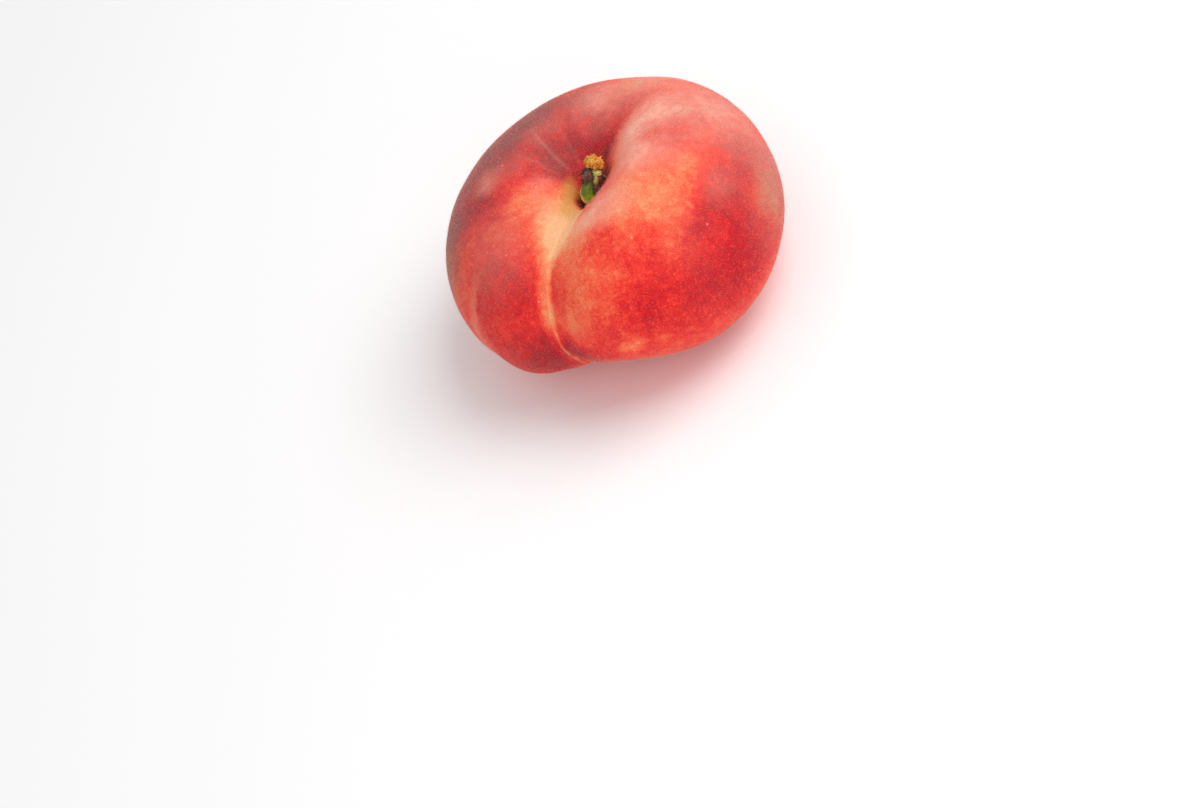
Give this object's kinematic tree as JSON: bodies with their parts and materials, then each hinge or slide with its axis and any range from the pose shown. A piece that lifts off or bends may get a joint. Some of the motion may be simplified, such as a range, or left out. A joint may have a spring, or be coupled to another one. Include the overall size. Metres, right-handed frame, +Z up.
{
  "type": "flat peach",
  "caption": "Ripe flat peach as picked: squat two-lobed fruit with a sunken pit, a suture down its front, and a short torn stem with dry bud scales.",
  "frame": {"origin": "centre of the fruit's outline seen from above, at the level of the surface it rests on", "axes": "+Z up along the fruit's axis from blossom end to stem; the suture faces -Y; +X points across the suture to the cheek of the near lobe"},
  "size_m": [0.08, 0.0736, 0.0466],
  "materials": {
    "skin": "matte",
    "stem": "satin",
    "bud_scales": "matte",
    "twig_heel": "matte"
  },
  "bodies": {
    "root": {"fruit": "skin", "stem": "stem", "bud_scales": "bud_scales", "twig_heel": "twig_heel"}
  },
  "joints": []
}
